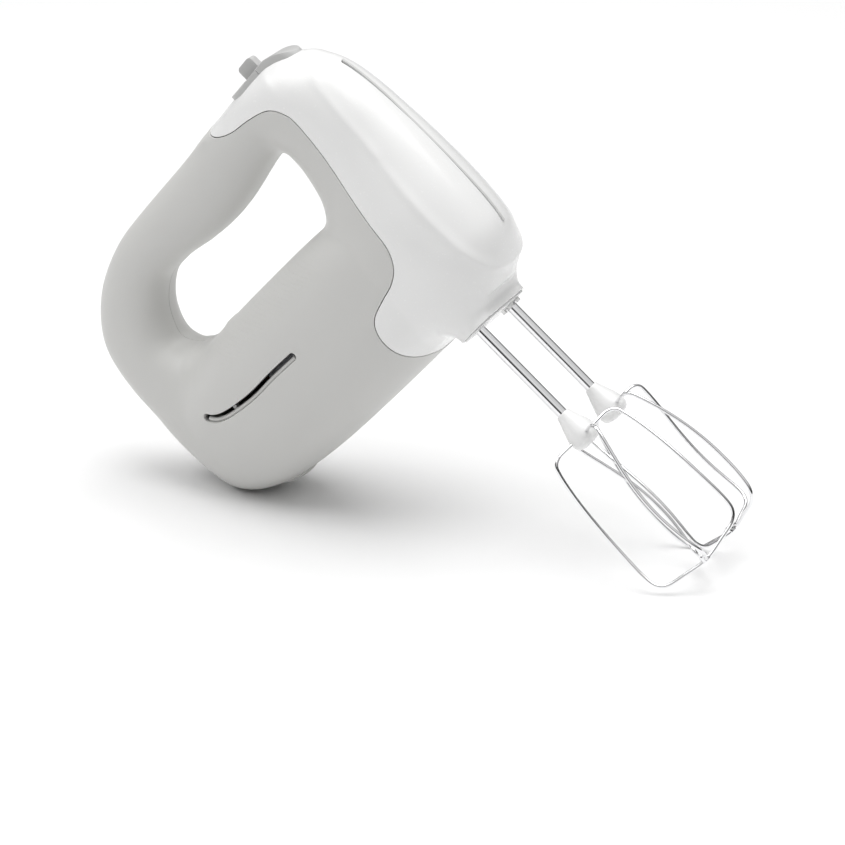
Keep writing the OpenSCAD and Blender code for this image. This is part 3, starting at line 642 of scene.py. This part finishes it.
MATERIALS = {
    "grey_shell": material("grey_shell", (0.63, 0.628, 0.612), rough=0.42, grain=0.3, grain_scale=1500,
                           mottle=0.012, spec=0.45, dots=True),
    "white_shell": material("white_shell", (0.88, 0.88, 0.875), rough=0.27, coat=0.15, mottle=0.006,
                            rough_var=0.012),
    "grey_inlay": material("grey_inlay", (0.62, 0.62, 0.615), rough=0.35, grain=0.2, mottle=0.01),
    "grey_control": material("grey_control", (0.53, 0.53, 0.525), rough=0.4, grain=0.3, grain_scale=1400,
                             mottle=0.015),
    "chrome": material("chrome", (0.86, 0.86, 0.87), rough=0.07, metal=1.0, mottle=0.01,
                       rough_var=0.03, grain_scale=400),
    "black_rubber": material("black_rubber", (0.04, 0.04, 0.04), rough=0.7, grain=0.6, mottle=0.1),
    "case_plastic": material("case_plastic", (0.055, 0.055, 0.06), rough=0.5, grain=0.5, mottle=0.08),
    "wheel_plastic": material("wheel_plastic", (0.76, 0.72, 0.6), rough=0.4, grain=0.2, mottle=0.03),
    "steel": material("steel", (0.56, 0.56, 0.57), rough=0.28, metal=1.0, mottle=0.05, brushed=(40, 40, 1)),
    "core_steel": material("core_steel", (0.27, 0.27, 0.29), rough=0.45, metal=1.0, mottle=0.12,
                           brushed=(60, 1, 60), grain=0.4),
    "copper": material("copper", (0.72, 0.33, 0.15), rough=0.32, metal=1.0, mottle=0.12,
                       brushed=(1, 50, 50), grain=0.5),
    "bronze": material("bronze", (0.62, 0.44, 0.22), rough=0.45, metal=1.0, mottle=0.1, grain=0.4),
    "brass": material("brass", (0.75, 0.58, 0.28), rough=0.3, metal=1.0, mottle=0.06),
    "carbon": material("carbon", (0.03, 0.03, 0.03), rough=0.6, grain=0.5, mottle=0.15),
    "board_green": material("board_green", (0.05, 0.22, 0.10), rough=0.35, mottle=0.1, grain=0.2),
    "film_yellow": material("film_yellow", (0.72, 0.55, 0.10), rough=0.25, mottle=0.04),
    "spring_steel": material("spring_steel", (0.5, 0.5, 0.52), rough=0.25, metal=1.0, mottle=0.06),
}
slot_of_node = {s["node"]: s["material_slot"] for s in record["subparts"]}
for n, o in frame["nodes"].items():
    o.data.materials.clear()
    o.data.materials.append(MATERIALS[slot_of_node[n]])


def dress(ob, body, slot, *nodes, mat=None):
    ob.data.materials.clear()
    ob.data.materials.append(mat or MATERIALS[slot])
    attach(ob, body)
    if nodes:
        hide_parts(*nodes)
    return ob


# ---- shells
PART_LINE = smooth(PARTING, 6)
VENT_LINE = smooth(VENT, 5)
SEAM = 0.18                     # half the gap between the cowl and the grey shells
VENT_R = 2.3
WINDOW_BACK, WINDOW_FRONT = -19.0, 29.8
WINDOW_R, WINDOW_TIP_R = 12.8, 8.2
CORD_Z, CORD_R, CORD_DEPTH_X = 62.0, 6.2, -150.0
SCREW_XZ, SCREW_HOLE_R = ((-172, 92), (-60, 24), (-128, 24)), 3.3


def parting(P):
    d, s = polyline_distance(P[:, 0], P[:, 2], PART_LINE)
    return PART_SIGN * s * d


# a point on the nose fixes which side of the line counts as the cowl
PART_SIGN = 1 if polyline_distance(np.array([40.0]), np.array([100.0]), PART_LINE)[1][0] > 0 else -1


def vent(P):
    d, _ = polyline_distance(P[:, 0], P[:, 2], VENT_LINE)
    return d - VENT_R


def window(P):
    # hull of two circles, the smaller one in front
    xa, xb, ra, rb = WINDOW_BACK + WINDOW_R, WINDOW_FRONT - WINDOW_TIP_R, WINDOW_R, WINDOW_TIP_R
    L = xb - xa
    sn = (ra - rb) / L
    cs = math.sqrt(1 - sn * sn)
    x, y = P[:, 0] - xa, np.abs(P[:, 1])
    u = x * cs - y * sn
    side = x * sn + y * cs - ra
    d = np.where(u < 0, np.hypot(x, y) - ra, np.where(u > L * cs, np.hypot(x - L, y) - rb, side))
    return np.maximum(d, 160 - P[:, 2])


def cord_inlet(P):
    return np.maximum(np.hypot(P[:, 1], P[:, 2] - CORD_Z) - CORD_R, P[:, 0] - CORD_DEPTH_X)


def screws(P):
    d = np.min([np.hypot(P[:, 0] - x, P[:, 2] - z) for x, z in SCREW_XZ], axis=0)
    return np.maximum(d - SCREW_HOLE_R, 5 - P[:, 1])


def groove(P):
    return np.maximum.reduce([np.abs(P[:, 1]) - 0.75, P[:, 2] - 151.5, 34.5 - P[:, 2], 30 - P[:, 0]])


SOCKET_FACE_Z, HALF_SEAM = 4.0, 0.06
front = make_shell("front_cowl", [lambda P: parting(P) - SEAM, window, groove, lambda P: P[:, 2] - SOCKET_FACE_Z],
                   radius=0.45)
right = make_shell("housing_right_moulding",
                   [lambda P: -parting(P) - SEAM, vent, cord_inlet, lambda P: -P[:, 1] - HALF_SEAM], deep=(1,))
left = make_shell("housing_left_moulding",
                  [lambda P: -parting(P) - SEAM, vent, cord_inlet, lambda P: P[:, 1] - HALF_SEAM, screws],
                  deep=(1,))
dress(front, "housing", "white_shell", "front_shell")
dress(right, "housing", "grey_shell", "housing_right")
dress(left, "housing", "grey_shell", "housing_left")

# ---- small moulded parts: the CAD shapes with their edges rounded
EDGE_RADII = (("control_panel", 0.6), ("boss_plate", 0.25), ("socket_bush_plain", 0.3),
              ("socket_bush_keyed", 0.3), ("cord_bush", 0.5), ("eject_button", 0.7),
              ("selector_lever", 0.6), ("vent_rib", 0.3))
for node, width in EDGE_RADII:
    body = next(b for b, ns in record["behaviour"]["bodies"].items() if node in ns)
    dress(rounded(node, width, skirt=0.12 if node == "eject_button" else 0.0), body, slot_of_node[node], node)

# a moulded lip along the lower side of each air slot, a little below the surface
path = VENT_LINE + np.array([0, -1.25])
for side, sign in (("left", 1), ("right", -1)):
    lo, hi = np.zeros(len(path)), np.full(len(path), 46.0)
    for _ in range(20):
        mid = (lo + hi) / 2
        inside = sample(FIELD, np.stack([path[:, 0], sign * mid, path[:, 1]], -1)) < 0
        lo, hi = np.where(inside, mid, lo), np.where(inside, hi, mid)
    V, F = tube(np.stack([path[:, 0], sign * (lo - 2.6), path[:, 1]], -1), 1.3, 14)
    dress(add_mesh("slot_lip_" + side, V, F, smooth_angle=50), "housing", "grey_shell")


# ---- beaters
def wing_turn(z):
    t = (z - WING[0][1]) / (WING[-1][1] - WING[0][1])
    return 15 * t + 15 * np.sin(np.radians(180 * t))


def loop_path(turn, y, hand, lift):
    half = smooth(WING, 7)
    q = np.concatenate([half, np.stack([-half[-2::-1, 0], half[-2::-1, 1]], -1)])
    z = q[:, 1] + lift * np.maximum(0, 1 - (q[:, 0] / 6) ** 2)
    a = np.radians(turn + hand * wing_turn(q[:, 1]))
    return np.stack([q[:, 0] * np.cos(a), y + q[:, 0] * np.sin(a), z], -1)


# turned outlines: (radius, z)
HUB = [(0.01, -57.6), (3.3, -57.6), (3.75, -57.9), (4.1, -58.7), (4.7, -60.5), (5.7, -63.2),
       (6.8, -66.2), (7.8, -69.2), (8.35, -72.0), (8.4, -74.2), (8.1, -75.8), (7.3, -77.2),
       (6.0, -78.2), (4.2, -78.85), (2.0, -79.15), (0.01, -79.2)]
FERRULE = [(1.2, -160.0), (2.2, -159.8), (2.55, -160.2), (2.6, -161.0), (2.6, -162.9), (2.5, -163.6),
           (2.0, -163.9), (1.2, -163.8)]
WIRE_R = 1.0
TURN_LEFT, TURN_RIGHT = 65.0, 53.0        # how the beaters stand at rest, degrees
for side, y, hand in (("left", SOCKET_Y, 1), ("right", -SOCKET_Y, -1)):
    turn = TURN_LEFT if side == "left" else TURN_RIGHT
    body = "beater_" + side
    for tag, extra, lift in (("a", 0, 0.0), ("b", 90, 2.3)):
        V, F = tube(loop_path(turn + extra, y, hand, lift), WIRE_R, 18)
        wire = add_mesh("wire_%s_%s" % (tag, side), V, F, smooth_angle=40)
        dress(wire, body, "chrome", "loop_%s_%s" % (tag, side))
    V, F = lathe([(max(r, 0.01), z) for r, z in smooth(HUB, 4)], 64, (0, y, 0))
    dress(add_mesh("hub_moulding_" + side, V, F, smooth_angle=50), body, "white_shell", "hub_" + side)
    V, F = lathe(FERRULE, 40, (0, y, 0))
    dress(add_mesh("tip_ferrule_" + side, V, F, smooth_angle=50), body, "chrome", "clip_" + side)

# ---- floor, light, camera
me = bpy.data.meshes.new("floor")
me.from_pydata([(-4, -4, 0), (4, -4, 0), (4, 4, 0), (-4, 4, 0)], [], [(0, 1, 2, 3)])
floor = bpy.data.objects.new("floor", me)
bpy.context.scene.collection.objects.link(floor)
floor.data.materials.append(material("floor_paper", (0.93, 0.93, 0.93), rough=0.75, mottle=0.004, grain=0.02,
                                     spec=0.2))

world = bpy.data.worlds.new("studio")
bpy.context.scene.world = world
world.use_nodes = True
wt = world.node_tree
background = wt.nodes["Background"]
background.inputs["Color"].default_value = (1, 1, 1, 1)
# a studio: dim walls, brighter overhead
sky = wt.nodes.new("ShaderNodeTexCoord")
split = wt.nodes.new("ShaderNodeSeparateXYZ")
wt.links.new(sky.outputs["Generated"], split.inputs["Vector"])
level = wt.nodes.new("ShaderNodeMapRange")
level.interpolation_type = "SMOOTHSTEP"
level.inputs["From Min"].default_value, level.inputs["From Max"].default_value = 0.15, 0.9
level.inputs["To Min"].default_value, level.inputs["To Max"].default_value = 0.03, 0.78
wt.links.new(split.outputs["Z"], level.inputs["Value"])
wt.links.new(level.outputs["Result"], background.inputs["Strength"])


def area(name, place, target, size, watts, color=(1, 1, 1)):
    L = bpy.data.lights.new(name, "AREA")
    L.shape = "RECTANGLE"
    L.size, L.size_y = size
    L.energy = watts
    L.color = color
    o = bpy.data.objects.new(name, L)
    bpy.context.scene.collection.objects.link(o)
    o.location = place
    o.rotation_euler = (Vector(target) - Vector(place)).to_track_quat("-Z", "Y").to_euler()
    return o


area("top", (0.1, 0.2, 1.9), (0, 0, 0.1), (1.8, 1.8), 26)
area("front", (0.9, -1.4, 1.2), (0, 0, 0.1), (0.9, 0.9), 0.8)
area("left", (-1.3, -0.7, 1.5), (0, 0, 0.1), (1.0, 1.0), 9)
bpy.context.scene.view_settings.view_transform = "Standard"

# the view, in metres: its distance, how wide a stretch it takes in there, and how far the origin
# lies right of and above its middle; then its direction and roll, in degrees
DIST, VIEW_WIDTH = 1.8, 0.4401
ORIGIN_RIGHT, ORIGIN_UP = 0.03984, 0.05286
A_, E_, R_ = (math.radians(v) for v in (33.0, -2.7, 44.5))
back = np.array([math.sin(A_) * math.cos(E_), -math.cos(A_) * math.cos(E_), math.sin(E_)])
r0 = np.array([math.cos(A_), math.sin(A_), 0.0])
u0 = np.cross(back, r0)
right_v = math.cos(R_) * r0 - math.sin(R_) * u0
up_v = math.sin(R_) * r0 + math.cos(R_) * u0
cam = bpy.data.cameras.new("camera")
cam_ob = bpy.data.objects.new("camera", cam)
bpy.context.scene.collection.objects.link(cam_ob)
cam.sensor_width = 36.0
cam.lens = cam.sensor_width * DIST / VIEW_WIDTH
cam.clip_end = 20
loc = row(back * DIST * 1000)
axes = [row_dir(v) for v in (right_v, up_v, back)]
cam.shift_x = -ORIGIN_RIGHT / VIEW_WIDTH
cam.shift_y = -ORIGIN_UP / VIEW_WIDTH
cam_ob.matrix_world = Matrix([[axes[0][i], axes[1][i], axes[2][i], loc[i]] for i in range(3)] + [[0, 0, 0, 1]])
bpy.context.scene.camera = cam_ob
